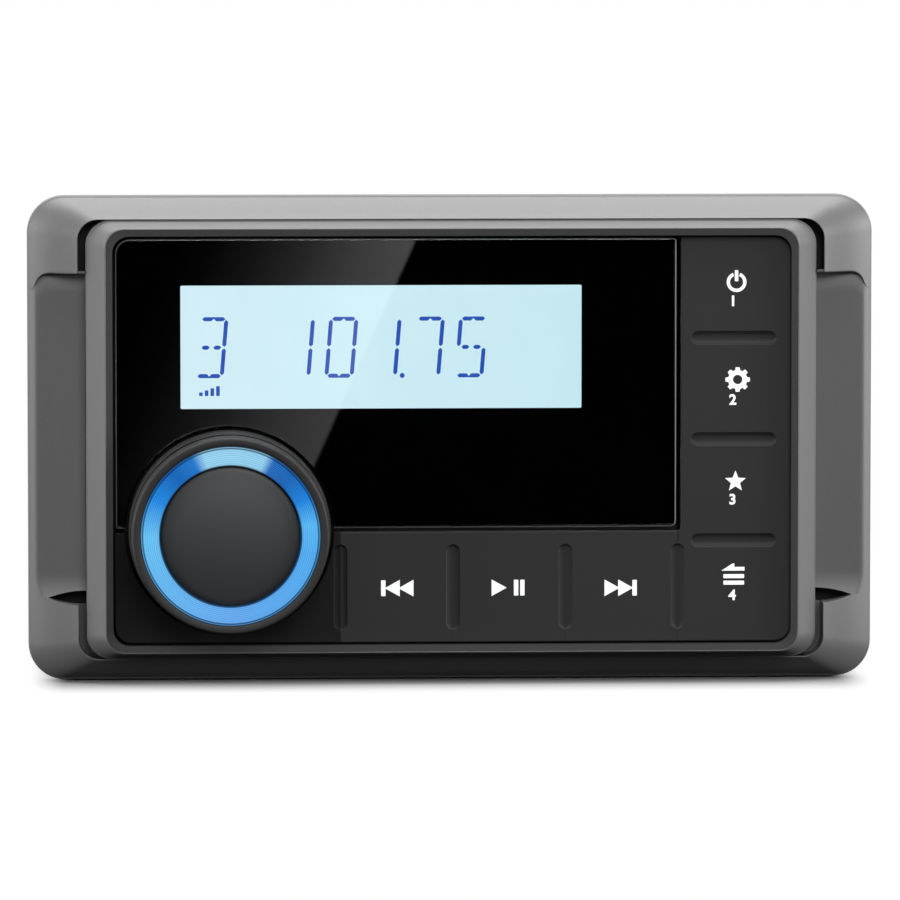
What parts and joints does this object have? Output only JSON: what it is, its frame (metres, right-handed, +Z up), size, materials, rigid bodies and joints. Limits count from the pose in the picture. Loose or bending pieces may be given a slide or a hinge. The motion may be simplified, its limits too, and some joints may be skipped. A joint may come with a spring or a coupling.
{
  "type": "marine stereo",
  "caption": "Flush-mount marine stereo with a clip-on trim, backlit display, rubber keypad and a lit push-and-turn knob, on a sealed chassis with a finned heat sink.",
  "frame": {"origin": "middle of the panel face that the flange gasket seals on", "axes": "the front faces -Y, +X is to the viewer's right, +Z is up, +Y runs into the panel"},
  "size_m": [0.142, 0.0987, 0.0814],
  "materials": {
    "moulded_grey": "fine moulded satin",
    "clear_acrylic": "polished clear acrylic",
    "mask_black": "printed black film",
    "display_glass": "backlit liquid crystal display",
    "backlight_white": "white light panel",
    "black_plastic": "moulded black",
    "keypad_rubber": "matte silicone",
    "carbon_rubber": "carbon filled",
    "circuit_board": "solder mask",
    "gold_plate": "gold plated",
    "lamp_white": "moulded lamp",
    "light_pipe": "frosted light pipe",
    "screw_steel": "plated",
    "plated_steel": "tin plated",
    "cream_nylon": "moulded nylon",
    "knob_black": "soft touch",
    "knob_face": "fine matte",
    "seal_rubber": "sealing ring",
    "gasket_foam": "closed cell foam",
    "chip_epoxy": "moulded package",
    "pad_silicone": "heat pad",
    "cast_aluminium": "extruded and blasted",
    "can_sleeve": "shrink sleeve",
    "copper_wire": "enamelled winding",
    "ribbon_film": "flat cable film"
  },
  "bodies": {
    "root": {"trim_bezel": "moulded_grey", "front_frame": "moulded_grey", "lens": "clear_acrylic", "lens_mask": "mask_black", "lcd_panel": "display_glass", "lcd_backlight": "backlight_white", "lcd_holder": "black_plastic", "chassis": "black_plastic", "rear_cover": "black_plastic", "rca_block": "black_plastic", "keypad_mat": "keypad_rubber", "control_board": "circuit_board", "main_board": "circuit_board", "key_contacts": "gold_plate", "harness_pins": "gold_plate", "rca_sleeves": "gold_plate", "ring_leds": "lamp_white", "ring_light_guide": "light_pipe", "board_screws": "screw_steel", "case_screws": "screw_steel", "rear_screws": "screw_steel", "main_board_screws": "screw_steel", "heat_sink_screws": "screw_steel", "encoder_nut": "screw_steel", "encoder_body": "plated_steel", "tuner_module": "plated_steel", "usb_socket": "plated_steel", "antenna_socket": "plated_steel", "ribbon_headers": "cream_nylon", "harness_socket": "cream_nylon", "case_seal": "seal_rubber", "rear_seal": "seal_rubber", "heat_sink_seal": "seal_rubber", "panel_gasket": "gasket_foam", "amplifier_chip": "chip_epoxy", "thermal_pad": "pad_silicone", "heat_sink": "cast_aluminium", "capacitors": "can_sleeve", "inductor": "copper_wire", "ribbon_cable": "ribbon_film"},
    "source_button": {"key_source": "keypad_rubber", "pill_source": "carbon_rubber"},
    "settings_button": {"key_settings": "keypad_rubber", "pill_settings": "carbon_rubber"},
    "favourite_button": {"key_favourite": "keypad_rubber", "pill_favourite": "carbon_rubber"},
    "back_button": {"key_back": "keypad_rubber", "pill_back": "carbon_rubber"},
    "previous_button": {"key_previous": "keypad_rubber", "pill_previous": "carbon_rubber"},
    "play_button": {"key_play": "keypad_rubber", "pill_play": "carbon_rubber"},
    "next_button": {"key_next": "keypad_rubber", "pill_next": "carbon_rubber"},
    "knob_push": {"encoder_plunger": "cream_nylon"},
    "knob": {"encoder_shaft": "screw_steel", "knob_ring": "light_pipe", "knob_grip": "knob_black", "knob_cap": "knob_face"}
  },
  "joints": [
    {"name": "source_press", "type": "slide", "parent": "root", "child": "source_button", "axis": [0, 1, 0], "range_m": [0, 0.0008], "stiffness_N_per_m": 400},
    {"name": "settings_press", "type": "slide", "parent": "root", "child": "settings_button", "axis": [0, 1, 0], "range_m": [0, 0.0008], "stiffness_N_per_m": 400},
    {"name": "favourite_press", "type": "slide", "parent": "root", "child": "favourite_button", "axis": [0, 1, 0], "range_m": [0, 0.0008], "stiffness_N_per_m": 400},
    {"name": "back_press", "type": "slide", "parent": "root", "child": "back_button", "axis": [0, 1, 0], "range_m": [0, 0.0008], "stiffness_N_per_m": 400},
    {"name": "previous_press", "type": "slide", "parent": "root", "child": "previous_button", "axis": [0, 1, 0], "range_m": [0, 0.0008], "stiffness_N_per_m": 400},
    {"name": "play_press", "type": "slide", "parent": "root", "child": "play_button", "axis": [0, 1, 0], "range_m": [0, 0.0008], "stiffness_N_per_m": 400},
    {"name": "next_press", "type": "slide", "parent": "root", "child": "next_button", "axis": [0, 1, 0], "range_m": [0, 0.0008], "stiffness_N_per_m": 400},
    {"name": "knob_press", "type": "slide", "parent": "root", "child": "knob_push", "axis": [0, 1, 0], "range_m": [0, 0.0008], "stiffness_N_per_m": 400},
    {"name": "knob_turn", "type": "hinge", "parent": "knob_push", "child": "knob", "pos_m": [-0.0373, -0.016, -0.0151], "axis": [0, 1, 0], "continuous": true}
  ]
}
